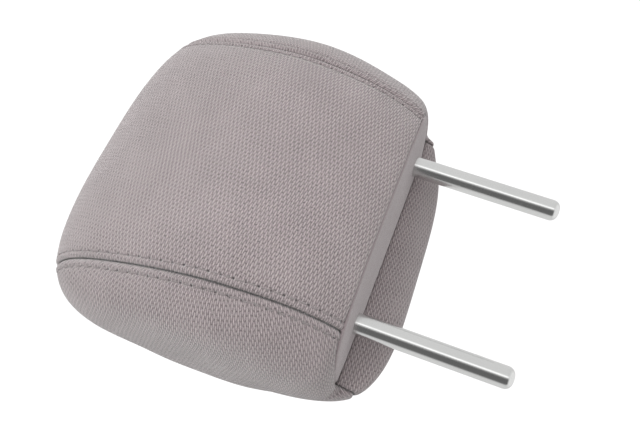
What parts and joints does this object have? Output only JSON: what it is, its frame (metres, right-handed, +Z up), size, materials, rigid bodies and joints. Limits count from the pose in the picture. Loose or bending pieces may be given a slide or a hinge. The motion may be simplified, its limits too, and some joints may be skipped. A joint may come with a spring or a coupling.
{
  "type": "seat head restraint",
  "caption": "Upholstered head restraint of a vehicle seat: a sewn woven cover over a foam pad, carried on a bent steel rod whose two straight legs plug into guides in the seat back.",
  "frame": {"origin": "midway between the two posts, at the height where they leave the pad's underside", "axes": "+Z up along the posts, +X towards the seat occupant's left, +Y to the rear of the seat"},
  "size_m": [0.2294, 0.1426, 0.3058],
  "materials": {
    "cover_fabric": "matte basket weave, grey-mauve, with a soft sheen at grazing angles",
    "underside_fabric": "matte fine weave, grey-mauve",
    "foam": "moulded foam skin, off-white",
    "polished_steel": "polished, chrome plated",
    "core_plastic": "moulded, fine grain",
    "zinc_screw": "bright zinc",
    "strip_plastic": "extruded, satin"
  },
  "bodies": {
    "root": {"centre_panel": "cover_fabric", "left_side_panel": "cover_fabric", "right_side_panel": "cover_fabric", "underside_panel": "underside_fabric", "bolster_flap": "cover_fabric", "foam_pad": "foam", "post_frame": "polished_steel", "core_front_shell": "core_plastic", "core_rear_shell": "core_plastic", "core_screws": "zinc_screw", "rear_closure_strip": "strip_plastic", "front_closure_strip": "strip_plastic"}
  },
  "joints": []
}
